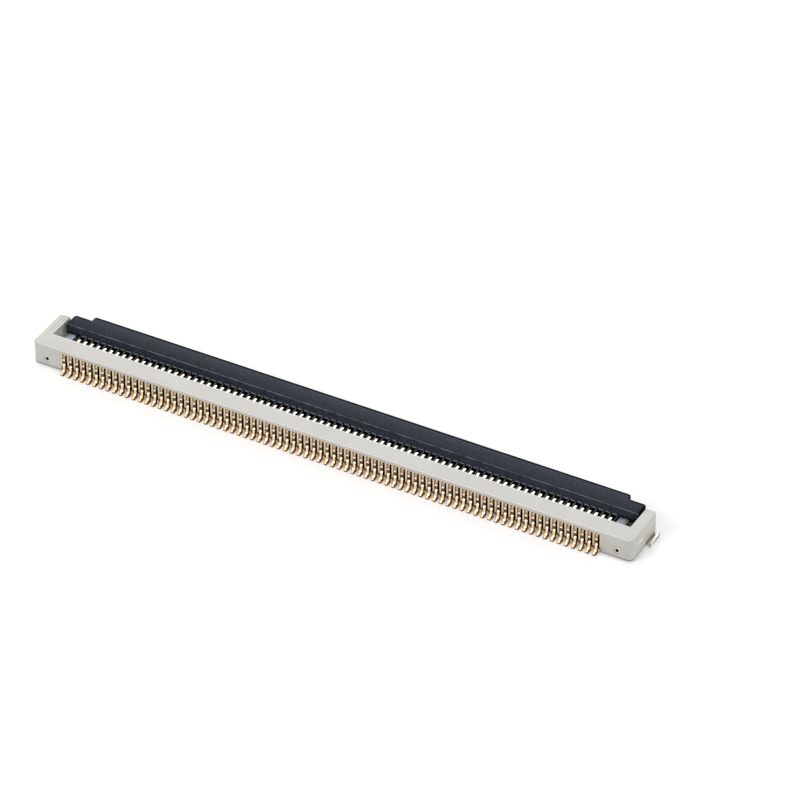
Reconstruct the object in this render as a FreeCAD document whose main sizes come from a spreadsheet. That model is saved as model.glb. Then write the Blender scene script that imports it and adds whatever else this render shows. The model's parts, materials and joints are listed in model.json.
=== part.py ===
"""Flat-cable board connector: 80 contacts at 0.5 mm in a flat shell, with a flip-up locking lever.

The row of contacts runs along X.  The solder tails point to -Y and the cable enters from +Y.
Z = 0 is the board.  The sizes below are measured from the shell: its rear wall is y = 0 and its
underside is z = 0, and every piece is then shifted so that the origin lies on the board, in the
middle of the whole part.
"""
import FreeCAD, Part
import math
import os
import re
import Sketcher

SIZES = [
    # the row
    ("pitch", 0.5, "contact spacing"),
    ("contacts", 80, "number of contacts"),
    ("standoff", 0.13, "gap between the shell and the board"),
    ("fit", 0.02, "play of the metal pieces in their slots"),
    # shell
    ("shell_depth", 3.55, "rear wall to the front of the arms"),
    ("shell_height", 1.6, "underside to top"),
    ("beam_depth", 1.371, "rear beam that carries the contacts"),
    ("guide_width", 0.72, "block beside the mouth"),
    ("guide_height", 0.62, "block beside the mouth, at the front"),
    ("slit_width", 0.21, "slit between that block and the arm"),
    ("arm_foot", 1.04, "arm thickness at the board"),
    ("arm_wall", 0.77, "arm thickness at the top"),
    ("arm_foot_top", 0.55, "where the arm starts to thin"),
    ("arm_wall_low", 1.0, "where the arm reaches its upper thickness"),
    ("floor", 0.2, "floor under the contact beams"),
    ("rib_top", 0.43, "top of the ribs between the contacts"),
    ("lip_reach", 3.25, "rear wall to the lower lip of the mouth"),
    ("lip_band", 0.18, "height of the lip's lower band"),
    ("lip_step", 0.06, "set-back above that band"),
    ("lip_lead", 0.09, "lead-in on the lip's upper edge"),
    ("slot_width", 0.36, "contact slot"),
    ("slot_top", 1.33, "top of the contact slot"),
    ("slot_reach", 3.05, "rear wall to the front end of the slot"),
    ("tail_gate", 0.2, "depth of the slot's open bottom"),
    ("sill_depth", 0.12, "bevel along the rear bottom edge, depth"),
    ("sill_height", 0.16, "bevel along the rear bottom edge, height"),
    ("rear_round", 0.35, "upright corners at the rear"),
    ("front_round", 0.22, "upright corners at the front of the arms"),
    ("top_round", 0.12, "upper edges"),
    ("beam_round", 0.06, "front upper edge of the beam"),
    ("pin_mark", 0.24, "blind hole in the rear wall, diameter"),
    ("pin_ring", 0.46, "shallow ring round that hole, diameter"),
    ("pin_mark_depth", 0.6, "depth of the blind hole"),
    ("pin_ring_depth", 0.04, "depth of the ring"),
    ("pin_mark_inset", 1.07, "blind hole from the end of the shell"),
    ("pin_mark_z", 0.5, "height of the blind hole"),
    ("gate_rear", 0.9, "moulding-gate mark on the end wall, rear edge"),
    ("gate_length", 0.7, "moulding-gate mark, length"),
    ("gate_low", 0.66, "moulding-gate mark, lower edge"),
    ("gate_height", 0.3, "moulding-gate mark, height"),
    ("gate_depth", 0.03, "moulding-gate mark, depth"),
    # contacts
    ("contact_sheet", 0.22, "metal thickness, across the row"),
    ("web_top", 1.3, "top of the contact"),
    ("web_front", 1.3, "front of the upright web"),
    ("rear_proud", 0.05, "contact edge beyond the rear wall"),
    ("barb_proud", 0.125, "upper knee beyond the rear wall"),
    ("barb_mid", 0.95, "height of the upper knee"),
    ("barb_half", 0.1, "half-height of the upper knee"),
    ("heel_proud", 0.12, "heel beyond the rear wall"),
    ("heel_top", 0.6, "top of the heel"),
    ("heel_low", 0.14, "where the heel turns into the tail"),
    ("heel_inner", 0.05, "inner corner of the heel"),
    ("tail_reach", 0.48, "tail beyond the rear wall"),
    ("tail_tip", 0.09, "height of the tail's tip"),
    ("tail_nose", 0.04, "slope of the tail's tip"),
    ("tail_sole", 0.26, "soldered length"),
    ("beam_low", 0.28, "underside of the contact"),
    ("spring_depth", 0.2, "height of the lower beam"),
    ("spring_rise", 0.05, "how far the lower beam rises to its end"),
    ("spring_reach", 3.0, "rear wall to the end of the lower beam"),
    ("bump_at", 2.75, "rear wall to the contact point"),
    ("bump_top", 0.61, "height of the contact point"),
    ("arm_low", 1.1, "underside of the upper arm"),
    ("arm_reach", 2.14, "rear wall to the tip of the upper arm"),
    ("hook_at", 2.03, "rear wall to the hook at that tip"),
    ("hook_low", 0.98, "lower end of the hook"),
    ("hook_slope", 0.08, "slope of the hook towards its point"),
    # lever
    ("axis_y", 1.84, "hinge axis from the rear wall"),
    ("axis_z", 0.93, "hinge axis from the underside"),
    ("shaft_half", 0.1, "half-width of the square shaft"),
    ("journal_radius", 0.15, "round ends of the shaft"),
    ("journal_end", 0.02, "play between a journal and its nail"),
    ("press_low", 0.7, "underside of the lever when shut"),
    ("lever_top", 1.58, "top of the lever when shut"),
    ("lever_reach", 4.36, "rear wall to the lever's front when shut"),
    ("lever_foot", 0.05, "bevel under the front face"),
    ("lever_round", 0.1, "upper edge of the front face"),
    ("lever_corner", 0.18, "upright corners at the lever's front"),
    ("wing_corner", 0.4, "upright corners at the rear of the lever's ends"),
    ("comb_top", 1.2, "top of the comb bars"),
    ("comb_front", 2.46, "front wall of the comb windows"),
    ("ramp_front", 2.77, "front of the slope behind the flat top"),
    ("wing_gap", 0.15, "lever's end to the arm"),
    ("wing_reach", 3.9, "rear wall to the front of the lever's ends"),
    ("wing_low", 0.96, "underside of the lever's ends"),
    ("hinge_play", 0.03, "play between a journal and its seat"),
    # nails
    ("nail_inset", 0.02, "how far the foot plate is let into the shell"),
    ("nail_rear", 1.98, "rear edge of the foot plate"),
    ("nail_front", 3.25, "front edge of the foot plate"),
    ("nail_wing", 0.38, "foot plate beyond the shell"),
    ("nail_lip", 0.4, "height of its upturned edge"),
    ("nail_bend", 0.14, "outer bend radius"),
    ("nail_gate", 0.16, "height of the opening in the end wall"),
    ("window_inset", 0.21, "frame round the solder window, across"),
    ("window_frame", 0.17, "frame round the solder window, front and rear"),
    ("window_width", 0.65, "solder window"),
    ("tab_inset", 0.05, "tab from the edge of the mouth"),
    ("tab_width", 0.68, "tab, across"),
    ("post_width", 0.2, "upright, along Y"),
    ("tab_rear", 1.0, "rear end of the tab, inside the beam"),
    ("tab_front", 2.3, "front end of the tab"),
    ("tab_play", 0.04, "gap over the journal"),
]

# Places that follow from the sizes above, written with their names.
ROW_HALF = "(contacts - 1) * pitch / 2"
MOUTH_HALF = "(contacts + 1) * pitch / 2"
GUIDE_OUT = MOUTH_HALF + " + guide_width"
ARM_IN = GUIDE_OUT + " + slit_width"
SHELL_HALF = ARM_IN + " + arm_foot"
RECESS_HALF = SHELL_HALF + " - arm_wall"
ROW_END = "contacts * pitch / 2"
LEVER_HALF = RECESS_HALF + " - wing_gap"
COMB_HALF = "(contacts + 1) * pitch / 2 - slot_width / 2"
NAIL_METAL = "standoff + nail_inset"
TAB_IN = MOUTH_HALF + " - tab_inset"
TAB_OUT = TAB_IN + " + tab_width"
NAIL_OUT = SHELL_HALF + " + nail_wing"
TAB_LOW = "axis_z + journal_radius + tab_play"
TAB_TOP = TAB_LOW + " + " + NAIL_METAL
POST_IN = f"{TAB_OUT} - ({NAIL_METAL})"
SEAT_TOP = "axis_z - journal_radius - hinge_play"
OVER = "shell_height"

doc = FreeCAD.newDocument("FlatCableConnector")
sheet = doc.addObject("Spreadsheet::Sheet", "Sizes")
for row, (alias, value, meaning) in enumerate(SIZES, start=1):
    sheet.set(f"A{row}", alias)
    sheet.set(f"B{row}", str(value))
    sheet.set(f"C{row}", meaning)
    sheet.setAlias(f"B{row}", alias)
doc.recompute()


def bound(text):
    """An expression on the sheet from a text that names its sizes."""
    return re.sub(r"\b([a-z]\w*)\b", r"Sizes.\1", str(text))


def size(text):
    """The value that such a text has now."""
    return float(sheet.evalExpression(bound(text)))


def body(label):
    """An empty body for one piece, standing on the board like all the others."""
    made = doc.addObject("PartDesign::Body", label)
    made.Label = label
    made.setExpression("Placement.Base.y", bound("(tail_reach - lever_reach) / 2"))
    made.setExpression("Placement.Base.z", bound("standoff"))
    return made


def origin(of_body, role):
    return next(part for part in of_body.Origin.OriginFeatures if part.Role == role)


def sketch(of_body, name, plane, offset="0"):
    made = of_body.newObject("Sketcher::SketchObject", name)
    made.AttachmentSupport = [(origin(of_body, plane), "")]
    made.MapMode = "FlatFace"
    made.setExpression("AttachmentOffset.Base.z", bound(offset))
    return made


def hold(of_sketch, kind, what, text):
    """Hold a size of a sketch at a named value."""
    index = of_sketch.addConstraint(Sketcher.Constraint(kind, *what, size(text)))
    of_sketch.setExpression(f"Constraints[{index}]", bound(text))


def pin_down(of_sketch, geometry, end, place):
    """Hold one point of a sketch at two named distances from the sketch's origin."""
    hold(of_sketch, "DistanceX", (-1, 1, geometry, end), place[0])
    hold(of_sketch, "DistanceY", (-1, 1, geometry, end), place[1])


def outline(of_body, name, plane, corners, offset="0"):
    """A closed outline through named corners."""
    made = sketch(of_body, name, plane, offset)
    spots = [FreeCAD.Vector(size(across), size(up), 0) for across, up in corners]
    first = made.GeometryCount
    for start, end in zip(spots, spots[1:] + spots[:1]):
        made.addGeometry(Part.LineSegment(start, end), False)
    for index in range(len(corners)):
        following = first + (index + 1) % len(corners)
        made.addConstraint(Sketcher.Constraint("Coincident", first + index, 2, following, 1))
        pin_down(made, first + index, 1, corners[index])
    return made


def box(of_body, name, plane, low, high, offset="0"):
    """A rectangular outline between two named corners."""
    corners = [low, (high[0], low[1]), high, (low[0], high[1])]
    return outline(of_body, name, plane, corners, offset)


def ring(of_body, name, plane, centre, radius, offset="0"):
    """A circular outline."""
    made = sketch(of_body, name, plane, offset)
    middle = FreeCAD.Vector(size(centre[0]), size(centre[1]), 0)
    made.addGeometry(Part.Circle(middle, FreeCAD.Vector(0, 0, 1), size(radius)), False)
    pin_down(made, 0, 3, centre)
    hold(made, "Radius", (0,), radius)
    return made


def pad(of_body, profile, length, both_ways=False):
    made = of_body.newObject("PartDesign::Pad", profile.Name + "Pad")
    made.Profile = profile
    made.SideType = "Symmetric" if both_ways else "One side"
    made.setExpression("Length", bound(length))
    doc.recompute()
    return made


def cut(of_body, profile, length, both_ways=False, outward=False):
    """Cut against the outline's own direction, or along it, and see that something went."""
    before = of_body.Shape.Volume
    made = of_body.newObject("PartDesign::Pocket", profile.Name + "Cut")
    made.Profile = profile
    made.Reversed = outward
    made.SideType = "Symmetric" if both_ways else "One side"
    made.setExpression("Length", bound(length))
    doc.recompute()
    if of_body.Shape.Volume >= before:
        raise ValueError(f"{made.Name} cuts nothing")
    return made


def along_row(of_body, feature):
    """Repeat a feature at every contact."""
    made = of_body.newObject("PartDesign::LinearPattern", feature.Name + "Row")
    made.Originals = [feature]
    made.Direction = (origin(of_body, "X_Axis"), [""])
    made.setExpression("Length", bound("(contacts - 1) * pitch"))
    made.setExpression("Occurrences", bound("contacts"))
    of_body.Tip = made
    doc.recompute()
    return made


def both_ends(of_body, features):
    """Repeat the features of the right end on the left."""
    made = of_body.newObject("PartDesign::Mirrored", features[-1].Name + "Ends")
    made.Originals = features
    made.MirrorPlane = (origin(of_body, "YZ_Plane"), [""])
    of_body.Tip = made
    doc.recompute()
    return made


def soften(of_body, name, radius, wanted):
    """Round the edges whose middle and direction are wanted."""
    base = of_body.Tip
    chosen = []
    for number, edge in enumerate(base.Shape.Edges, start=1):
        middle = edge.valueAt((edge.FirstParameter + edge.LastParameter) / 2)
        if wanted(middle, edge):
            chosen.append(f"Edge{number}")
    if not chosen:
        raise ValueError(f"{name} finds no edge")
    made = of_body.newObject("PartDesign::Fillet", name)
    made.Base = (base, chosen)
    made.setExpression("Radius", bound(radius))
    of_body.Tip = made
    doc.recompute()
    return made


def near(value, text):
    return abs(value - size(text)) < 1e-4


def upright(edge):
    low, high = edge.BoundBox.ZMin, edge.BoundBox.ZMax
    return edge.BoundBox.XLength < 1e-4 and edge.BoundBox.YLength < 1e-4 and high > low


def shell():
    """The moulded shell: a rear beam, two arms, the floor with its ribs, and the mouth."""
    made = body("housing")
    plan = box(made, "Plan", "XY_Plane", (f"-({SHELL_HALF})", "0"), (SHELL_HALF, "shell_depth"))
    pad(made, plan, "shell_height")
    soften(made, "RearCorners", "rear_round", lambda at, edge: upright(edge) and near(at.y, "0"))
    soften(made, "FrontCorners", "front_round",
           lambda at, edge: upright(edge) and near(at.y, "shell_depth"))
    soften(made, "TopEdges", "top_round", lambda at, edge: near(edge.BoundBox.ZMin, "shell_height"))

    # The open front, seen from the mouth: recess, thinning arms, slits, guide blocks, ribs.
    right = [
        (MOUTH_HALF, "rib_top"),
        (MOUTH_HALF, SEAT_TOP),
        (GUIDE_OUT, SEAT_TOP),
        (GUIDE_OUT, "floor"),
        (ARM_IN, "floor"),
        (ARM_IN, "arm_foot_top"),
        (RECESS_HALF, "arm_wall_low"),
        (RECESS_HALF, f"shell_height + {OVER}"),
    ]
    left = [(f"-({across})", up) for across, up in reversed(right)]
    front = outline(made, "Recess", "XZ_Plane", right + left, "-beam_depth")
    cut(made, front, "shell_depth")
    soften(made, "BeamEdge", "beam_round",
           lambda at, edge: near(at.z, "shell_height") and near(at.y, "beam_depth")
           and near(edge.BoundBox.YLength, "0"))

    # The guide blocks step down in front of the journal seats.
    step = box(made, "GuideStep", "XZ_Plane",
               (f"-({GUIDE_OUT})", "guide_height"), (GUIDE_OUT, SEAT_TOP), "-tab_front")
    cut(made, step, "shell_depth")

    # The lower lip of the mouth, with its set-back band and lead-in.
    lip = [
        ("lip_reach", f"-{OVER}"),
        ("lip_reach", "lip_band"),
        ("lip_reach - lip_step", "lip_band"),
        ("lip_reach - lip_step", "rib_top - lip_lead"),
        ("lip_reach - lip_step - lip_lead", "rib_top"),
        ("lip_reach - lip_step - lip_lead", OVER),
        (f"shell_depth + {OVER}", OVER),
        (f"shell_depth + {OVER}", f"-{OVER}"),
    ]
    cut(made, outline(made, "MouthLip", "YZ_Plane", lip), f"2 * ({MOUTH_HALF})", both_ways=True)

    sill = [
        ("-sill_depth", "2 * sill_height"),
        ("-sill_depth", "-sill_height"),
        ("2 * sill_depth", "-sill_height"),
    ]
    cut(made, outline(made, "Sill", "YZ_Plane", sill), f"2 * ({ROW_END})", both_ways=True)

    ends = []
    inlay = box(made, "NailInlay", "XY_Plane",
                (f"{POST_IN} - fit", "nail_rear - fit"),
                (f"{SHELL_HALF} + {OVER}", "nail_front + fit"), "nail_inset")
    ends.append(cut(made, inlay, OVER))
    gate = box(made, "NailGate", "XY_Plane",
               (f"{SHELL_HALF} - window_frame", "nail_rear - fit"),
               (f"{SHELL_HALF} + {OVER}", "nail_front + fit"), "nail_gate")
    ends.append(cut(made, gate, OVER))
    post = box(made, "PostHole", "XY_Plane",
               (f"{POST_IN} - fit", "tab_front - post_width - fit"),
               (f"{TAB_OUT} + fit", "tab_front + fit"), SEAT_TOP)
    ends.append(cut(made, post, OVER))
    pocket = box(made, "TabSlot", "XZ_Plane", (f"{TAB_IN} - fit", TAB_LOW),
                 (f"{TAB_OUT} + fit", f"{TAB_TOP} + fit"), "fit - tab_rear")
    ends.append(cut(made, pocket, "beam_depth"))
    mark = box(made, "GateMark", "YZ_Plane", ("gate_rear", "gate_low"),
               ("gate_rear + gate_length", "gate_low + gate_height"), f"{SHELL_HALF} - gate_depth")
    ends.append(cut(made, mark, OVER, outward=True))
    place = (f"{SHELL_HALF} - pin_mark_inset", "pin_mark_z")
    dent = ring(made, "PinRing", "XZ_Plane", place, "pin_ring / 2", "-pin_ring_depth")
    ends.append(cut(made, dent, OVER, outward=True))
    hole = ring(made, "PinMark", "XZ_Plane", place, "pin_mark / 2", "-pin_mark_depth")
    ends.append(cut(made, hole, OVER, outward=True))
    both_ends(made, ends)

    # One contact slot, open at the rear and under the tail.
    slot = [
        (f"-{OVER}", f"-{OVER}"),
        ("tail_gate", f"-{OVER}"),
        ("tail_gate", "beam_low"),
        ("slot_reach", "beam_low"),
        ("slot_reach", "bump_top"),
        ("arm_reach", "bump_top"),
        ("arm_reach", "slot_top"),
        (f"-{OVER}", "slot_top"),
    ]
    first = outline(made, "Slot", "YZ_Plane", slot, f"-({ROW_HALF})")
    along_row(made, cut(made, first, "slot_width", both_ways=True))
    return made


def contact_pair():
    """Two stamped contacts a pitch apart: tail, heel, web, spring beam below, hooked arm above."""
    made = body("contact_pair")
    made.AllowCompound = True
    edge = [
        ("-rear_proud", "web_top"),
        ("-rear_proud", "barb_mid + barb_half"),
        ("-barb_proud", "barb_mid"),
        ("-rear_proud", "barb_mid - barb_half"),
        ("-rear_proud", "heel_top"),
        ("-heel_proud", "heel_top + rear_proud - heel_proud"),
        ("-heel_proud", "heel_low"),
        ("-tail_reach", "tail_tip - standoff"),
        ("tail_nose - tail_reach", "-standoff"),
        ("tail_sole - tail_reach", "-standoff"),
        ("heel_inner", "beam_low"),
        ("spring_reach", "beam_low + spring_rise"),
        ("bump_at", "bump_top"),
        ("web_front", "beam_low + spring_depth"),
        ("web_front", "arm_low"),
        ("hook_at", "arm_low"),
        ("hook_at + hook_slope", "hook_low"),
        ("arm_reach", "web_top"),
    ]
    sheet_metal = pad(made, outline(made, "Contact", "YZ_Plane", edge), "contact_sheet",
                      both_ways=True)
    twin = made.newObject("PartDesign::LinearPattern", "Pair")
    twin.Originals = [sheet_metal]
    twin.Direction = (origin(made, "X_Axis"), [""])
    twin.setExpression("Length", bound("pitch"))
    twin.Occurrences = 2
    made.Tip = twin
    doc.recompute()
    return made


def wing_corner(of_body):
    """What is cut away to round the rear corner of the lever's end."""
    made = sketch(of_body, "WingCorner", "XY_Plane")
    inner, outer = f"{LEVER_HALF} - wing_corner", f"{LEVER_HALF} + {OVER}"
    rear, front = f"comb_front - {OVER}", "comb_front + wing_corner"
    middle = FreeCAD.Vector(size(inner), size(front), 0)
    circle = Part.Circle(middle, FreeCAD.Vector(0, 0, 1), size("wing_corner"))
    made.addGeometry(Part.ArcOfCircle(circle, -math.pi / 2, 0), False)
    corners = [(LEVER_HALF, front), (outer, front), (outer, rear), (inner, rear),
               (inner, "comb_front")]
    spots = [FreeCAD.Vector(size(across), size(up), 0) for across, up in corners]
    for start, end in zip(spots, spots[1:]):
        made.addGeometry(Part.LineSegment(start, end), False)
    pin_down(made, 0, 3, (inner, front))
    hold(made, "Radius", (0,), "wing_corner")
    hold(made, "DistanceX", (-1, 1, 0, 1), inner)
    hold(made, "DistanceY", (-1, 1, 0, 2), front)
    made.addConstraint(Sketcher.Constraint("Coincident", 0, 2, 1, 1))
    for index, corner in enumerate(corners[1:-1], start=2):
        made.addConstraint(Sketcher.Constraint("Coincident", index - 1, 2, index, 1))
        pin_down(made, index, 1, corner)
    made.addConstraint(Sketcher.Constraint("Coincident", len(spots) - 1, 2, 0, 1))
    return made


def lever():
    """The locking lever: a comb on a square shaft, a slope, a flat top and a front lip."""
    made = body("lever")
    section = [
        ("axis_y - shaft_half", "axis_z - shaft_half"),
        ("axis_y + shaft_half", "axis_z - shaft_half"),
        ("axis_y + shaft_half + axis_z - shaft_half - press_low", "press_low"),
        ("lever_reach - lever_foot", "press_low"),
        ("lever_reach", "press_low + lever_foot"),
        ("lever_reach", "lever_top"),
        ("ramp_front", "lever_top"),
        ("comb_front", "comb_top"),
        ("axis_y - shaft_half", "comb_top"),
    ]
    pad(made, outline(made, "Section", "YZ_Plane", section), f"2 * ({LEVER_HALF})", both_ways=True)
    beyond = f"{LEVER_HALF} + {OVER}"
    ends = []
    front = box(made, "WingFront", "XY_Plane", (ROW_END, "wing_reach"),
                (beyond, f"lever_reach + {OVER}"))
    ends.append(cut(made, front, f"4 * {OVER}", both_ways=True))
    under = box(made, "WingUnder", "XY_Plane", (ROW_END, "comb_front"),
                (beyond, f"lever_reach + {OVER}"), "wing_low")
    ends.append(cut(made, under, OVER))
    rear = box(made, "WingRear", "XY_Plane", (COMB_HALF, "0"), (beyond, "comb_front"))
    ends.append(cut(made, rear, f"4 * {OVER}", both_ways=True))
    journal = ring(made, "Journal", "YZ_Plane", ("axis_y", "axis_z"), "journal_radius", ROW_END)
    ends.append(pad(made, journal, f"{GUIDE_OUT} - journal_end - {ROW_END}"))
    ends.append(cut(made, wing_corner(made), f"4 * {OVER}", both_ways=True))
    both_ends(made, ends)
    soften(made, "LeverCorners", "lever_corner",
           lambda at, edge: upright(edge) and at.y > size("ramp_front")
           and (near(abs(at.x), LEVER_HALF) or near(at.y, "lever_reach")))
    soften(made, "LeverFrontEdge", "lever_round",
           lambda at, edge: near(edge.BoundBox.ZMin, "lever_top") and at.y > size("ramp_front"))

    # One window of the comb: it leaves the shaft and clears the hooked arm as the lever turns.
    window = [
        (f"axis_y - {OVER}", "axis_z + shaft_half"),
        ("axis_y + shaft_half", "axis_z + shaft_half"),
        ("axis_y + shaft_half", f"-{OVER}"),
        ("comb_front", f"-{OVER}"),
        ("comb_front", f"comb_top + {OVER}"),
        (f"axis_y - {OVER}", f"comb_top + {OVER}"),
    ]
    first = outline(made, "Window", "YZ_Plane", window, f"-({ROW_HALF})")
    along_row(made, cut(made, first, "slot_width", both_ways=True))
    return made


def nail():
    """The right-hand nail: foot plate with a solder window, upturned edge, post, and hinge tab."""
    made = body("nail_right")
    foot = box(made, "Foot", "XY_Plane", (POST_IN, "nail_rear"), (NAIL_OUT, "nail_front"),
               "-standoff")
    pad(made, foot, NAIL_METAL)
    edge = box(made, "Upturn", "XY_Plane", (f"{NAIL_OUT} - ({NAIL_METAL})", "nail_rear"),
               (NAIL_OUT, "nail_front"), "-standoff")
    pad(made, edge, "nail_lip")
    soften(made, "FootBend", "nail_bend",
           lambda at, line: near(at.x, NAIL_OUT) and near(at.z, "-standoff"))
    window = box(made, "SolderWindow", "XY_Plane",
                 (f"{SHELL_HALF} - window_inset - window_width", "nail_rear + window_frame"),
                 (f"{SHELL_HALF} - window_inset", "nail_front - 2 * window_frame"))
    cut(made, window, f"4 * {OVER}", both_ways=True)
    post = box(made, "Post", "XY_Plane", (POST_IN, "tab_front - post_width"),
               (TAB_OUT, "tab_front"), "-standoff")
    pad(made, post, f"standoff + {TAB_TOP}")
    tab = box(made, "Tab", "XY_Plane", (TAB_IN, "tab_rear"), (TAB_OUT, "tab_front"), TAB_LOW)
    pad(made, tab, NAIL_METAL)
    return made


def mirrored(source, label):
    made = doc.addObject("Part::Mirroring", label)
    made.Source = source
    made.Normal = (1, 0, 0)
    made.Label = label
    return made


def contact_row(pair):
    """All the contacts, two to a piece, from the left end to the right."""
    made = []
    for number in range(int(size("contacts")) // 2):
        label = f"contact_pair_{number + 1:02d}"
        one = doc.addObject("Part::Compound", label)
        one.Links = [pair]
        one.Label = label
        one.setExpression("Placement.Base.x", bound(f"{2 * number} * pitch - ({ROW_HALF})"))
        made.append(one)
    return made


right_nail = nail()
pieces = [shell(), lever(), right_nail, mirrored(right_nail, "nail_left")]
pieces += contact_row(contact_pair())
doc.recompute()

for item in doc.Objects:
    if "Invalid" in item.State or "Error" in item.State:
        raise ValueError(f"{item.Name} did not compute")
for piece in pieces:
    if piece.Shape.isNull() or not piece.Shape.isValid():
        raise ValueError(f"{piece.Label} has no sound shape")

os.makedirs("parts", exist_ok=True)
for piece in pieces:
    piece.Shape.exportStep(f"parts/{piece.Label}.step")
    if not piece.Label.startswith("contact_pair") or piece.Label.endswith("_01"):
        extent = piece.Shape.BoundBox
        print(piece.Label, len(piece.Shape.Solids), "solids", round(piece.Shape.Volume, 3), "mm3",
              [round(side, 3) for side in (extent.XMin, extent.YMin, extent.ZMin,
                                           extent.XMax, extent.YMax, extent.ZMax)])
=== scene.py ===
"""A fine-pitch connector for flat flexible cable, on a white studio floor."""
import json
import math
import bpy
from mathutils import Matrix, Vector


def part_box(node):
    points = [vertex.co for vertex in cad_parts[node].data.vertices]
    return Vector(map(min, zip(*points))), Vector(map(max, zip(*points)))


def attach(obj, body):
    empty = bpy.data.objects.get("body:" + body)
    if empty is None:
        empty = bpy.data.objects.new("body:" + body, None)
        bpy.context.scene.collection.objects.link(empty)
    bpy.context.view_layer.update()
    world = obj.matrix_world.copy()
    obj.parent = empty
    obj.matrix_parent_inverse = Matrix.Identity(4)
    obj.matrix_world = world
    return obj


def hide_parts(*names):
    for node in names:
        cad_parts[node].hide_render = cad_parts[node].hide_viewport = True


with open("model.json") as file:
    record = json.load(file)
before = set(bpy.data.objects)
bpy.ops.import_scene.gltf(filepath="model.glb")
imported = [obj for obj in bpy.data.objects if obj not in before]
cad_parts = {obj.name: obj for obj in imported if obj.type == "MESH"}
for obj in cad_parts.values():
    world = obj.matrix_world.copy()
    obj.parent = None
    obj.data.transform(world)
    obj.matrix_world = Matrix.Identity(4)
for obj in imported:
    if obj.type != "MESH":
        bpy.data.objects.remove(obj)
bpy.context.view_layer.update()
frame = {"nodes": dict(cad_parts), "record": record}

MM = 0.001

# Places of the solids that the finishes and pieces below refer to, in metres. Those along and up
# are counted from the rear wall and from the underside of the shell.
SHELL_LOW, SHELL_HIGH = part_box("housing")
REAR = SHELL_LOW.y
UNDERSIDE = SHELL_LOW.z
SHELL_TOP = SHELL_HIGH.z - UNDERSIDE
BEAM_DEPTH = 1.4 * MM
RECESS_HALF = 21.45 * MM
SLOT_TOP = 1.33 * MM
PAIRS = sum(name.startswith("contact_pair") for name in frame["nodes"])
FIRST_LOW, FIRST_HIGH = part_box("contact_pair_01")
PITCH = (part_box("contact_pair_02")[0].x - FIRST_LOW.x) / 2
SHEET = FIRST_HIGH.x - FIRST_LOW.x - PITCH
ROW_HALF = PAIRS * PITCH
LEVER_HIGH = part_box("lever")[1]
LEVER_TOP = LEVER_HIGH.z - UNDERSIDE
LEVER_REACH = LEVER_HIGH.y - REAR
WING_REACH = 3.9 * MM
WINDOW_END = 2.46 * MM
CREASE = 2.77 * MM
ROLL_START = 20.6 * MM
COMB_TOP = 1.2 * MM

# How wide most masks of the finishes fade out.
SOFT = 0.02 * MM


def linear(hex_colour):
    """An sRGB hex colour as the linear values that a shader takes."""
    channels = []
    for start in (0, 2, 4):
        value = int(hex_colour[start:start + 2], 16) / 255
        channels.append(value / 12.92 if value <= 0.04045 else ((value + 0.055) / 1.055) ** 2.4)
    return (*channels, 1.0)


def node(tree, kind, *terms, output="", stops=(), **named):
    """Add a node and give back one output: the one named, or else the first in use.

    Terms fill the inputs in use, in their order. Named values fill the input of that name, or are
    the node's own settings where the name is in small letters. Each value is a socket, a number
    or a hex colour. Stops are the places and hex colours of a ramp."""
    made = tree.nodes.new("ShaderNode" + kind)
    for name in [name for name in named if name.islower()]:
        setattr(made, name, named.pop(name))
    inputs = [plug for plug in made.inputs if plug.enabled]
    filled = list(zip(inputs, terms))
    filled += [(made.inputs[name.replace("_", " ")], value) for name, value in named.items()]
    for plug, value in filled:
        if isinstance(value, bpy.types.NodeSocket):
            tree.links.new(value, plug)
        else:
            plug.default_value = linear(value) if isinstance(value, str) else value
    for _ in stops[2:]:  # a ramp has two to start with
        made.color_ramp.elements.new(0.5)
    for index, (place, colour) in enumerate(stops):
        made.color_ramp.elements[index].position = place
        made.color_ramp.elements[index].color = linear(colour)
    outputs = [plug for plug in made.outputs if plug.enabled and output in ("", plug.name)]
    return outputs[0] if outputs else None


def combine(tree, operation, *values):
    """Several masks made one by the same operation, two at a time."""
    result = values[0]
    for value in values[1:]:
        result = node(tree, "Math", result, value, operation=operation)
    return result


def between(tree, place, low, high, blur=0.015 * MM):
    """A mask that is one from the low place to the high one, and nothing outside."""
    return combine(tree, "MULTIPLY",
                   node(tree, "MapRange", place, low - blur, low + blur),
                   node(tree, "MapRange", place, high + blur, high - blur))


def layered(tree, colour, *layers, way="MIX"):
    """Colours laid over the first one in turn, each where its mask is one."""
    for mask, laid in layers:
        colour = node(tree, "Mix", mask, colour, laid, data_type="RGBA", blend_type=way)
    return colour


def finish(name):
    """A new material under the name of the real one, and its empty tree of nodes."""
    made = bpy.data.materials.new(name)
    made.use_nodes = True
    made.node_tree.nodes.clear()
    return made, made.node_tree


def spot(tree):
    """The place on the part: the whole vector, and the distances that the finishes are laid by:
    aside from the middle, along from the rear wall, up from the underside, and across it."""
    where = node(tree, "TexCoord", output="Object")
    across, depth, height = node(tree, "SeparateXYZ", where).node.outputs
    aside = node(tree, "Math", across, operation="ABSOLUTE")
    along = node(tree, "Math", depth, REAR, operation="SUBTRACT")
    up = node(tree, "Math", height, UNDERSIDE, operation="SUBTRACT")
    return where, aside, along, up, across


def in_pitch(tree, across):
    """How far a place lies from the middle of its contact; the middles are half a pitch off."""
    wrapped = node(tree, "Math", across, PITCH, 0.0, operation="WRAP")
    return node(tree, "Math", wrapped, PITCH / 2, operation="SUBTRACT")


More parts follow.
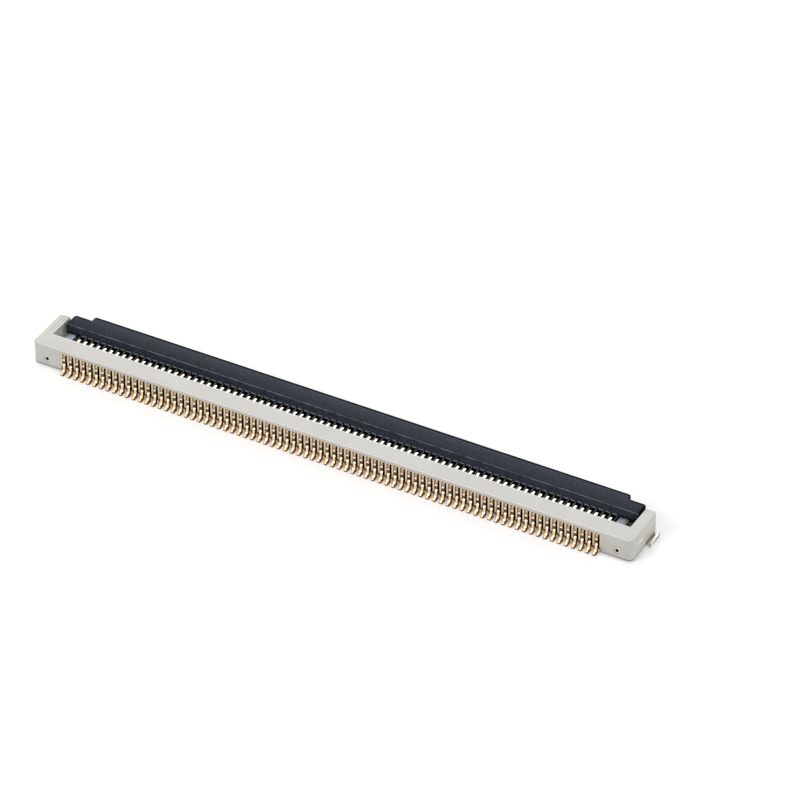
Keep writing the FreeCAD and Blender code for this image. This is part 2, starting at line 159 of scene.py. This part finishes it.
def rim_highlight(tree, aside, along, up):
    """A painted highlight along the edges of the top: at the rear, the ends and the recess."""
    width, soft = 0.06 * MM, 2 * SOFT
    recess = combine(tree, "MULTIPLY",
                     between(tree, along, BEAM_DEPTH - 0.14 * MM, BEAM_DEPTH),
                     node(tree, "MapRange", aside, RECESS_HALF + SOFT, RECESS_HALF))
    end = SHELL_HIGH.x - width
    rims = combine(tree, "MAXIMUM", recess,
                   node(tree, "MapRange", along, width + soft, width),
                   node(tree, "MapRange", aside, end - soft, end))
    on_top = node(tree, "MapRange", up, SHELL_TOP - 0.06 * MM, SHELL_TOP - 0.04 * MM)
    return combine(tree, "MULTIPLY", rims, on_top)


def arm_lines(tree, across, along, up):
    """The two fine lines that run out along the left arm's top."""
    line_width = 0.04 * MM
    first, second = -21.66 * MM, -21.84 * MM
    lines = combine(tree, "MAXIMUM",
                    between(tree, across, first, first + line_width),
                    between(tree, across, second, second + line_width))
    past_recess = node(tree, "MapRange", along, 1.5 * MM, 1.9 * MM)
    on_top = node(tree, "MapRange", up, SHELL_TOP - 0.04 * MM, SHELL_TOP - 0.02 * MM)
    return combine(tree, "MULTIPLY", lines, past_recess, on_top)


def pin_layers(tree, aside, along, up):
    """The mark that a pin of the mould leaves in the rear wall, one near each end: a painted
    highlight on its disc, a painted line of shade round it, and painted shade in its bore."""
    inset, height, radius, bore_radius = 1.07 * MM, 0.5 * MM, 0.2 * MM, 0.12 * MM
    face = node(tree, "CombineXYZ", aside, up)
    away = node(tree, "VectorMath", face, (SHELL_HIGH.x - inset, height, 0.0),
                operation="DISTANCE")
    on_wall = node(tree, "MapRange", along, 0.06 * MM, 0.05 * MM)
    # Painted highlight on the disc, painted shade on its ring, and painted shade in the bore.
    disc_highlight = combine(tree, "MULTIPLY", on_wall,
                   node(tree, "MapRange", away, radius + SOFT, radius))
    ring_shade = combine(tree, "MULTIPLY", on_wall,
                   between(tree, away, radius + 0.01 * MM, radius + 0.05 * MM))
    bore_shade = combine(tree, "MULTIPLY",
                   node(tree, "MapRange", away, bore_radius + SOFT, bore_radius),
                   node(tree, "MapRange", along, 0.7 * MM, 0.65 * MM))
    return (disc_highlight, "F7F5F0"), (ring_shade, "A8A49B"), (bore_shade, "0E0C0A")


def gate_mark(tree, aside, along, up):
    """The pale floor of the shallow mark on each end wall, where the mould's gate was cut."""
    return combine(tree, "MULTIPLY",
                   between(tree, along, 0.9 * MM, 1.6 * MM),
                   between(tree, up, 0.66 * MM, 0.96 * MM),
                   between(tree, aside, SHELL_HIGH.x - 0.055 * MM, SHELL_HIGH.x - 0.015 * MM,
                           blur=0.005 * MM))


def moulded_ivory():
    """Liquid-crystal polymer, moulded. The eye sees faint flow clouds in a dull satin skin, a
    painted highlight along the top's edges over a painted line of shade, a painted shadow along the
    foot, and between the contacts thin ribs warmed by painted reflected light, over sills in
    painted brown shade."""
    made, tree = finish("ivory liquid-crystal polymer, moulded")
    where, aside, along, up, across = spot(tree)
    cloud_width = 2.2 * MM
    tooth_width = 0.05 * MM  # coarser than the mould's real tooth, so that it shows
    cloud = node(tree, "TexNoise", Vector=where, Scale=1 / cloud_width, Detail=3.0)
    tooth = node(tree, "TexNoise", Vector=where, Scale=1 / tooth_width, Detail=2.0)
    skin = node(tree, "ValToRGB", cloud, stops=[(0.3, "D1CEC7"), (0.7, "D8D6D0")])
    # A painted line of shade on the rear face, just under the rounded top edge.
    shade_line_under_rim = between(tree, up, SHELL_TOP - 0.11 * MM, SHELL_TOP - 0.07 * MM)
    # A painted shadow: a dark line along the foot, where the shell stands just above the floor.
    foot_shadow = node(tree, "MapRange", up, 0.08 * MM, 0.03 * MM)
    row = combine(tree, "MULTIPLY",
                  node(tree, "MapRange", aside, ROW_HALF + SOFT, ROW_HALF),
                  node(tree, "MapRange", along, 0.4 * MM, 0.2 * MM))
    # Painted reflected light: the ribs between the slots warmed and brightened as by light off the
    # gold beside them.
    ribs_warm_light = combine(tree, "MULTIPLY", row,
                   node(tree, "MapRange", up, SLOT_TOP, SLOT_TOP - 0.06 * MM))
    # Painted shade: the sills between the contacts are brown, for the shadow there tinted by the
    # bronze beside it.
    sill_shade = combine(tree, "MULTIPLY", row, node(tree, "MapRange", up, 0.36 * MM, 0.3 * MM))
    colour = layered(tree, skin,
                     (shade_line_under_rim, "BEC2C0"),
                     # a painted highlight along the top's edges
                     (rim_highlight(tree, aside, along, up), "E6E5E0"),
                     (arm_lines(tree, across, along, up), "A5A29A"),
                     (foot_shadow, "4E4840"),
                     (ribs_warm_light, "FFE8C8"),
                     (sill_shade, "74390F"),
                     *pin_layers(tree, aside, along, up),
                     (gate_mark(tree, aside, along, up), "EFEDE8"))
    bump = node(tree, "Bump", Height=tooth, Strength=0.25, Distance=0.004 * MM)
    shader = node(tree, "BsdfPrincipled", Base_Color=colour, Normal=bump, Roughness=0.4, IOR=1.5)
    node(tree, "OutputMaterial", shader)
    return made


def flat_top(tree, aside, along, up, border_end, soft):
    """The lever's flat top, without the borders at its far edge, ends and wings that are painted
    black as shade.
    """
    wing_end = WING_REACH - 0.21 * MM
    past_wings = combine(tree, "MAXIMUM",
                         node(tree, "MapRange", along, wing_end + soft, wing_end),
                         node(tree, "MapRange", aside, ROW_HALF + 0.16 * MM,
                              ROW_HALF + 0.12 * MM))
    inside = combine(tree, "MINIMUM", past_wings,
                     node(tree, "MapRange", along, border_end + soft, border_end),
                     node(tree, "MapRange", aside, LEVER_HIGH.x - 0.09 * MM,
                          LEVER_HIGH.x - 0.12 * MM))
    on_top = node(tree, "MapRange", up, LEVER_TOP - 0.06 * MM, LEVER_TOP - 0.02 * MM)
    return combine(tree, "MULTIPLY", inside, on_top)


def window_highlights(tree, aside, along, up, across):
    """Painted highlights round the comb's windows: an arch at the end of each, and a fainter line
    down the middle of each tooth between two."""
    aim = node(tree, "Math", in_pitch(tree, across), operation="ABSOLUTE")
    in_row = node(tree, "MapRange", aside, ROW_HALF + SOFT, ROW_HALF)
    window_half, tooth_edge = 0.19 * MM, 0.222 * MM
    arch = combine(tree, "MULTIPLY", in_row,
                   between(tree, along, WINDOW_END, WINDOW_END + SOFT, blur=SOFT / 2),
                   node(tree, "MapRange", aim, window_half, window_half - SOFT),
                   node(tree, "MapRange", up, COMB_TOP - 0.08 * MM, COMB_TOP - 0.03 * MM))
    tooth_highlight = combine(tree, "MULTIPLY", in_row,
                   node(tree, "MapRange", aim, tooth_edge, tooth_edge + 0.01 * MM, 0.0, 0.45),
                   node(tree, "MapRange", along, WINDOW_END - 0.03 * MM, WINDOW_END - 0.06 * MM),
                   node(tree, "MapRange", up, COMB_TOP - 0.05 * MM, COMB_TOP - 0.02 * MM))
    return combine(tree, "MAXIMUM", arch, tooth_highlight)


def moulded_charcoal():
    """Glass-filled polymer, moulded. The eye sees a sparked top with paler specks of filler and
    painted light that grows outward, inside borders and a comb painted black as shade, a slope
    lightened by painted light, and painted highlights along the crease and round the windows."""
    made, tree = finish("charcoal glass-filled polymer, moulded")
    where, aside, along, up, across = spot(tree)
    cloud_width = 0.7 * MM
    speck_width = 0.09 * MM  # coarser than real filler and spark marks, so that they show
    cloud = node(tree, "TexNoise", Vector=where, Scale=1 / cloud_width, Detail=3.0)
    grain = node(tree, "TexNoise", Vector=where, Scale=1 / speck_width, Detail=3.0)
    speck = node(tree, "TexNoise", Vector=where, Scale=1 / speck_width, Detail=1.5)
    resin = node(tree, "ValToRGB", cloud, stops=[(0.35, "0A1018"), (0.65, "141C27")])
    filler = node(tree, "MapRange", speck, 0.56, 0.74, 0.0, 0.42)
    speckled = layered(tree, resin, (filler, "6A7078"))

    border_end, soft = LEVER_REACH - 0.24 * MM, 2 * SOFT
    flat = flat_top(tree, aside, along, up, border_end, soft)
    combed = node(tree, "MapRange", aside, ROW_HALF + 1.0 * MM, ROW_HALF + 0.3 * MM, 0.8, 1.0)
    slope = combine(tree, "MULTIPLY", combed,
                    node(tree, "MapRange", along, CREASE + 0.03 * MM, CREASE),
                    node(tree, "MapRange", up, COMB_TOP + 0.01 * MM, COMB_TOP + 0.04 * MM))
    sparked_and_unshaded = combine(tree, "MAXIMUM", flat, slope)
    # Painted light: the top grows paler toward its far edge.
    outward_light = node(tree, "MapRange", along, CREASE, border_end + soft)
    outward_light = combine(tree, "MULTIPLY", flat, outward_light, outward_light)

    crease_half = 0.015 * MM
    broken = node(tree, "MapRange", cloud, 0.35, 0.6, 0.2, 0.75)
    # A painted highlight along the crease, broken into dashes.
    crease = combine(tree, "MULTIPLY", combed, broken,
                     between(tree, along, CREASE - crease_half, CREASE + crease_half))
    edge_highlights = combine(tree, "MAXIMUM", crease, window_highlights(tree, aside, along, up, across))

    # Outside the sparked top, the borders and the comb are near black: painted shade.
    colour = layered(tree, "020203", (sparked_and_unshaded, speckled))
    # The colour added on the slope is painted light, a little less of it on the wings.
    colour = layered(tree, colour, (outward_light, "2E343C"), (slope, "171A1F"), way="ADD")
    # Painted highlights along the crease and round the windows.
    colour = layered(tree, colour, (edge_highlights, "98A0AA"))
    bump = node(tree, "Bump", Height=grain, Strength=0.6, Distance=0.01 * MM)
    dullness = node(tree, "MapRange", sparked_and_unshaded, 0.0, 1.0, 0.95, 0.5)
    shader = node(tree, "BsdfPrincipled", Base_Color=colour, Normal=bump, Roughness=dullness,
                  IOR=1.5, Specular_IOR_Level=0.12)
    node(tree, "OutputMaterial", shader)
    return made


def gilt_bronze():
    """Phosphor bronze, stamped and gold plated. The eye sees sheared edges bright on the arms, the
    knees and the tails, with painted highlights on the arms and knees, painted brown shade where
    the contact stands back between the knees, and painted shade down one side of each tail and
    on its cut tip."""
    made, tree = finish("gold-plated phosphor bronze, stamped")
    where, _, along, up, across = spot(tree)
    patch_width = 0.12 * MM
    patch = node(tree, "TexNoise", Vector=where, Scale=1 / patch_width, Detail=2.0)
    torn = combine(tree, "ADD",
                   node(tree, "MapRange", in_pitch(tree, across), -SHEET / 2, SHEET / 2),
                   node(tree, "MapRange", patch, 0.3, 0.7, -0.12, 0.12))

    # Colours up the rear, each at its height in millimetres: tail, lower knee, the brown stretch
    # that stands back, upper knee and web. Most are painted light: pale glints on the knees,
    # painted shade on the brown stretch and on the web within the slot, and a darker heel that
    # tones down the highlight of its bend.
    lowest, highest = -0.2, 1.4
    heights = [(-0.1, "ECD3A4"), (0.02, "E4CB9C"), (0.16, "E4CB9C"), (0.26, "F4DCAC"),
               (0.5, "F9E8C8"), (0.6, "FBEED4"), (0.65, "5E4824"), (0.85, "6E5730"),
               (0.89, "FFFDF4"), (0.99, "FFFDF4"), (1.04, "A48A60"), (1.3, "C8AE84")]
    stops = [((place - lowest) / (highest - lowest), tone) for place, tone in heights]
    height = node(tree, "MapRange", up, lowest * MM, highest * MM)
    rear = node(tree, "ValToRGB", height, stops=stops)
    worn = node(tree, "ValToRGB", torn, stops=[(0.05, "C9A472"), (0.3, "FFFFFF"),
                                               (0.7, "FFFFFF"), (0.95, "B98A50")])
    outside = node(tree, "MapRange", along, 0.5 * MM, 0.3 * MM)
    rear = layered(tree, rear, (outside, worn), way="MULTIPLY")
    # Painted highlight: each arm's top is near white, between painted shade at its two sides.
    arm = node(tree, "ValToRGB", torn, stops=[(0.1, "4A3C24"), (0.25, "F2EBD8"),
                                              (0.75, "F6F0E0"), (0.95, "4A3C24")])
    inside = node(tree, "MapRange", along, 0.3 * MM, 0.5 * MM)
    # Painted shade down one side of each tail's top, near the floor.
    tail_side_shade = combine(tree, "MULTIPLY",
                        node(tree, "MapRange", torn, 0.66, 0.8),
                        node(tree, "MapRange", up, 0.2 * MM, 0.1 * MM))
    # Painted shade on the cut tip of each tail.
    tip_shade = node(tree, "MapRange", along, -0.43 * MM, -0.46 * MM)
    colour = layered(tree, rear, (inside, arm), (tail_side_shade, "7A3C10"), (tip_shade, "54431F"))
    shader = node(tree, "BsdfPrincipled", Base_Color=colour, Roughness=0.3, Metallic=1.0)
    node(tree, "OutputMaterial", shader)
    return made


def rolled_bronze():
    """Phosphor bronze, rolled, on the contacts' broad faces. The eye sees brown tails, the bronze
    deepened by painted shade, and black painted shade within the slots."""
    made, tree = finish("phosphor bronze, rolled, in painted shade")
    where, _, _, up, _ = spot(tree)
    patch_width = 0.15 * MM
    patch = node(tree, "TexNoise", Vector=where, Scale=1 / patch_width, Detail=2.0)
    tail = node(tree, "ValToRGB", patch, stops=[(0.3, "5E2A06"), (0.7, "98501A")])
    # Painted shade: black within the slots, and brown on the tails below them.
    slot_shade = node(tree, "MapRange", up, 0.28 * MM, 0.4 * MM)
    colour = layered(tree, tail, (slot_shade, "0B0805"))
    shader = node(tree, "BsdfPrincipled", Base_Color=colour, Roughness=0.4, Metallic=1.0)
    node(tree, "OutputMaterial", shader)
    return made


def tinned_bronze():
    """Bronze sheet, rolled, tin plated and bent. The eye sees the tabs darker grey, painted shade
    and the painted dark reflection of the lever above them, and bright tin on the wings, with the
    fine lines of the roll on their upturned edges."""
    made, tree = finish("tin-plated bronze, rolled")
    where, aside, _, _, _ = spot(tree)
    line_length, stretch = 1.4 * MM, 15.0  # fewer and coarser than real lines, so that they show
    drawn = node(tree, "Mapping", Vector=where, Scale=(stretch, 1.0, stretch))
    lines = node(tree, "TexNoise", Vector=drawn, Scale=1 / line_length, Detail=1.0)
    brushed = node(tree, "ValToRGB", lines, stops=[(0.4, "7E7B73"), (0.5, "D4D1C8"),
                                                   (0.6, "FBFAF7")])
    upturned = node(tree, "MapRange", aside, SHELL_HIGH.x + 0.16 * MM, SHELL_HIGH.x + 0.24 * MM)
    tin = layered(tree, "F0EEE6", (upturned, brushed))
    # Painted shade and reflection: the tabs under the dark lever are darker grey than the tin.
    tab_shade = node(tree, "ValToRGB", lines, stops=[(0.3, "5C5F68"), (0.7, "6E727A")])
    tab_end, wing_start = 21.0 * MM, 21.4 * MM
    on_wing = node(tree, "MapRange", aside, tab_end, wing_start)
    colour = layered(tree, tab_shade, (on_wing, tin))
    bump = node(tree, "Bump", Height=lines, Strength=0.4, Distance=0.006 * MM)
    shader = node(tree, "BsdfPrincipled", Base_Color=colour, Normal=bump, Roughness=0.36,
                  Metallic=1.0)
    node(tree, "OutputMaterial", shader)
    return made


FINISH = {
    "shell": moulded_ivory(),
    "lever": moulded_charcoal(),
    "contacts": gilt_bronze(),
    "nails": tinned_bronze(),
}
ROLLED = rolled_bronze()


def dress_cad():
    """Give every solid the finish of its record slot."""
    slots = {part["node"]: part["material_slot"] for part in frame["record"]["subparts"]}
    for name in frame["nodes"]:
        solid = bpy.data.objects[name]
        solid.data.materials.clear()
        solid.data.materials.append(FINISH[slots[name]])


def pick(piece):
    """Make a piece the only one selected, and the active one."""
    bpy.ops.object.select_all(action="DESELECT")
    piece.select_set(True)
    bpy.context.view_layer.objects.active = piece


def whole_copy(solid, name):
    """A copy of a solid under a new name, its triangles merged and its flat faces whole again."""
    made = bpy.data.objects.new(name, bpy.data.objects[solid].data.copy())
    bpy.context.scene.collection.objects.link(made)
    pick(made)
    bpy.ops.object.mode_set(mode="EDIT")
    bpy.ops.mesh.select_all(action="SELECT")
    bpy.ops.mesh.remove_doubles(threshold=0.001 * MM)
    bpy.ops.mesh.dissolve_limited(angle_limit=math.radians(1))
    bpy.ops.object.mode_set(mode="OBJECT")
    return made


def round_edges(piece, wanted, width, segments):
    """Bevel the edges whose middle and direction are wanted."""
    pick(piece)
    bpy.ops.object.mode_set(mode="EDIT")
    bpy.ops.mesh.select_mode(type="EDGE")
    bpy.ops.mesh.select_all(action="DESELECT")
    bpy.ops.object.mode_set(mode="OBJECT")
    spots = piece.data.vertices
    for edge in piece.data.edges:
        start, end = (spots[index].co for index in edge.vertices)
        edge.select = wanted((start + end) / 2, (end - start).normalized())
    bpy.ops.object.mode_set(mode="EDIT")
    bpy.ops.mesh.bevel(offset=width, segments=segments, affect="EDGES", clamp_overlap=True)
    bpy.ops.object.mode_set(mode="OBJECT")


def soften(piece, width, segments):
    """Break every sharp edge by the same small round, and smooth the shading across it."""
    pick(piece)
    bevel = piece.modifiers.new("edges", "BEVEL")
    bevel.width = width
    bevel.segments = segments
    bevel.limit_method = "ANGLE"
    bevel.angle_limit = math.radians(60)
    bevel.use_clamp_overlap = False
    bpy.ops.object.modifier_apply(modifier=bevel.name)
    bpy.ops.object.shade_smooth_by_angle(angle=math.radians(40))


def settle(piece, body, slot, *nodes):
    """Say what the piece rides on, what finish it takes and which solids it stands for. A
    contact's broad faces, those that look sideways, take the rolled finish."""
    piece.data.materials.clear()
    piece.data.materials.append(FINISH[slot])
    if slot == "contacts":
        piece.data.materials.append(ROLLED)
        for face in piece.data.polygons:
            face.material_index = int(abs(face.normal.x) > 0.4)
    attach(piece, body)
    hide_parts(*nodes)


def near(value, place):
    """Whether two places are the same but for the rounding of a mesh."""
    return abs(value - place) < 0.004 * MM


def shell():
    """The shell with the small rounds of its mould on every edge, none above its flat top."""
    made = whole_copy("housing", "shell_moulding")
    soften(made, 0.02 * MM, 2)
    for corner in made.data.vertices:
        corner.co.z = min(corner.co.z, SHELL_HIGH.z)
    settle(made, "base", "shell", "housing")


def lever():
    """The lever with round-cornered comb windows, rolled ends and broken edges. It is cut at the
    start of each end, so that only the ends of the crease are rolled."""
    made = whole_copy("lever", "lever_moulding")
    bpy.ops.object.mode_set(mode="EDIT")
    for side in (-1, 1):
        bpy.ops.mesh.select_all(action="SELECT")
        bpy.ops.mesh.bisect(plane_co=(side * ROLL_START, 0, 0), plane_no=(1, 0, 0))
    bpy.ops.object.mode_set(mode="OBJECT")
    top = LEVER_HIGH.z - 0.01 * MM

    def end_of_crease(at, way):
        on_end = abs(way.x) > 0.9 and abs(at.x) > ROLL_START
        return on_end and near(at.y, REAR + CREASE) and at.z > top

    def window_corner(at, way):
        upright = abs(way.z) > 0.9 and abs(at.x) < ROW_HALF
        return upright and near(at.y, REAR + WINDOW_END)

    round_edges(made, end_of_crease, 0.2 * MM, 5)
    round_edges(made, window_corner, 0.09 * MM, 3)
    soften(made, 0.025 * MM, 2)
    settle(made, "lever", "lever", "lever")


def nails():
    """The two nails with the small rounds of bent sheet."""
    for side in ("left", "right"):
        made = whole_copy(f"nail_{side}", f"nail_{side}_sheet")
        soften(made, 0.02 * MM, 2)
        settle(made, "base", "nails", f"nail_{side}")


def contacts():
    """Every contact as bent sheet: one pair is rounded, and the others are copies of it. The
    soles run further in than the solids' do, up to the plane of the rear wall, because the
    brown sides of the photographed tails do."""
    first = whole_copy("contact_pair_01", "contacts_01")
    sole_end, sole_growth, sole_height = -0.22, 0.22, -0.13

    def at_corner(place, along, up):
        return near(place.y, REAR + along * MM) and near(place.z, UNDERSIDE + up * MM)

    for corner in first.data.vertices:
        if at_corner(corner.co, sole_end, sole_height):
            corner.co.y += sole_growth * MM

    # Each corner of the sheet in millimetres: its place along and up and the width of its round,
    # and then the steps of the round.
    bends = {
        "tail and heel": (-0.12, 0.14, 0.14, 4),
        "end of the sole": (sole_end + sole_growth, sole_height, 0.05, 2),
        "tip of the tail": (-0.48, -0.04, 0.03, 2),
        "lower knee": (-0.12, 0.53, 0.04, 2),
        "upper knee": (-0.125, 0.95, 0.03, 2),
        "tip of the arm": (2.14, 1.3, 0.2, 4),
    }
    for along, up, width, segments in bends.values():
        round_edges(first, lambda at, way: abs(way.x) > 0.9 and at_corner(at, along, up),
                    width * MM, segments)
    soften(first, 0.018 * MM, 1)
    settle(first, "base", "contacts", "contact_pair_01")
    for number in range(2, PAIRS + 1):
        made = bpy.data.objects.new(f"contacts_{number:02d}", first.data.copy())
        bpy.context.scene.collection.objects.link(made)
        made.data.transform(Matrix.Translation((2 * PITCH * (number - 1), 0, 0)))
        settle(made, "base", "contacts", f"contact_pair_{number:02d}")


dress_cad()
shell()
lever()
nails()
contacts()

FLOOR_SIZE = 1.2
FLOOR_LIFT = 0.27
SKY_LIGHT = 0.36


def studio_floor():
    """A white sheet; a little of its own light lifts it to white, and shadows still show."""
    bpy.ops.object.select_all(action="DESELECT")
    bpy.ops.mesh.primitive_plane_add(size=FLOOR_SIZE, location=(0, 0, 0))
    floor = bpy.context.object
    floor.name = "floor"
    made, tree = finish("white studio floor")
    rays = node(tree, "LightPath").node.outputs
    seen = combine(tree, "MAXIMUM", rays["Is Camera Ray"], rays["Is Glossy Ray"])
    lift = node(tree, "MapRange", seen, To_Max=FLOOR_LIFT)
    paint = node(tree, "BsdfDiffuse", "F4F4F4")
    glow = node(tree, "Emission", "FFFFFF", lift)
    node(tree, "OutputMaterial", node(tree, "AddShader", paint, glow))
    floor.data.materials.append(made)


def white_world():
    """An even sky, dim for plain light, that the camera and glossy faces see as white."""
    world = bpy.data.worlds.new("white sky")
    bpy.context.scene.world = world
    world.use_nodes = True
    tree = world.node_tree
    tree.nodes.clear()
    rays = node(tree, "LightPath").node.outputs
    seen = combine(tree, "MAXIMUM", rays["Is Camera Ray"], rays["Is Transmission Ray"],
                   rays["Is Glossy Ray"])
    level = node(tree, "MapRange", seen, To_Min=SKY_LIGHT, To_Max=1.0)
    node(tree, "OutputWorld", node(tree, "Background", "FFFFFF", level))


def softbox(name, place, size, watts):
    """A square lamp that faces the part."""
    data = bpy.data.lights.new(name, "AREA")
    data.size = size
    data.energy = watts
    made = bpy.data.objects.new(name, data)
    bpy.context.scene.collection.objects.link(made)
    place = Vector(place)
    turn = place.to_track_quat("Z", "Y").to_matrix().to_4x4()
    made.matrix_world = Matrix.Translation(place) @ turn


studio_floor()
white_world()
softbox("overhead softbox", place=(-0.08, -0.01, 0.40), size=0.20, watts=0.30)
softbox("front softbox", place=(-0.154, -0.270, 0.262), size=0.16, watts=0.46)
softbox("rear softbox", place=(-0.154, 0.278, 0.243), size=0.16, watts=0.22)
softbox("side softbox", place=(0.36, 0.0, 0.18), size=0.20, watts=0.38)

CAMERA_AZIMUTH = math.radians(28.96)
CAMERA_HEIGHT = math.radians(37.37)
CAMERA_ROLL = math.radians(-0.29)
CAMERA_DISTANCE = 332.7 * MM
LOOKS_AT = Vector((1.265 * MM, REAR + 7.81 * MM, UNDERSIDE))
FOCAL_PIXELS = 5061.5
FRAME_PIXELS = 800
SENSOR = 36.0


def photo_camera():
    """The camera of the photograph: its bearing, height, roll, distance and focal length."""
    away = Vector((math.sin(CAMERA_AZIMUTH) * math.cos(CAMERA_HEIGHT),
                   -math.cos(CAMERA_AZIMUTH) * math.cos(CAMERA_HEIGHT),
                   math.sin(CAMERA_HEIGHT)))
    level = Vector((math.cos(CAMERA_AZIMUTH), math.sin(CAMERA_AZIMUTH), 0))
    upward = away.cross(level)
    right = math.cos(CAMERA_ROLL) * level + math.sin(CAMERA_ROLL) * upward
    top = away.cross(right)
    data = bpy.data.cameras.new("camera")
    data.sensor_fit = "HORIZONTAL"
    data.sensor_width = SENSOR
    data.lens = FOCAL_PIXELS / FRAME_PIXELS * SENSOR
    data.clip_start = 20 * MM
    data.clip_end = 10
    made = bpy.data.objects.new("camera", data)
    bpy.context.scene.collection.objects.link(made)
    turn = Matrix((right, top, away)).transposed().to_4x4()
    made.matrix_world = Matrix.Translation(LOOKS_AT + away * CAMERA_DISTANCE) @ turn
    bpy.context.scene.camera = made


photo_camera()
bpy.context.scene.view_settings.view_transform = "Standard"
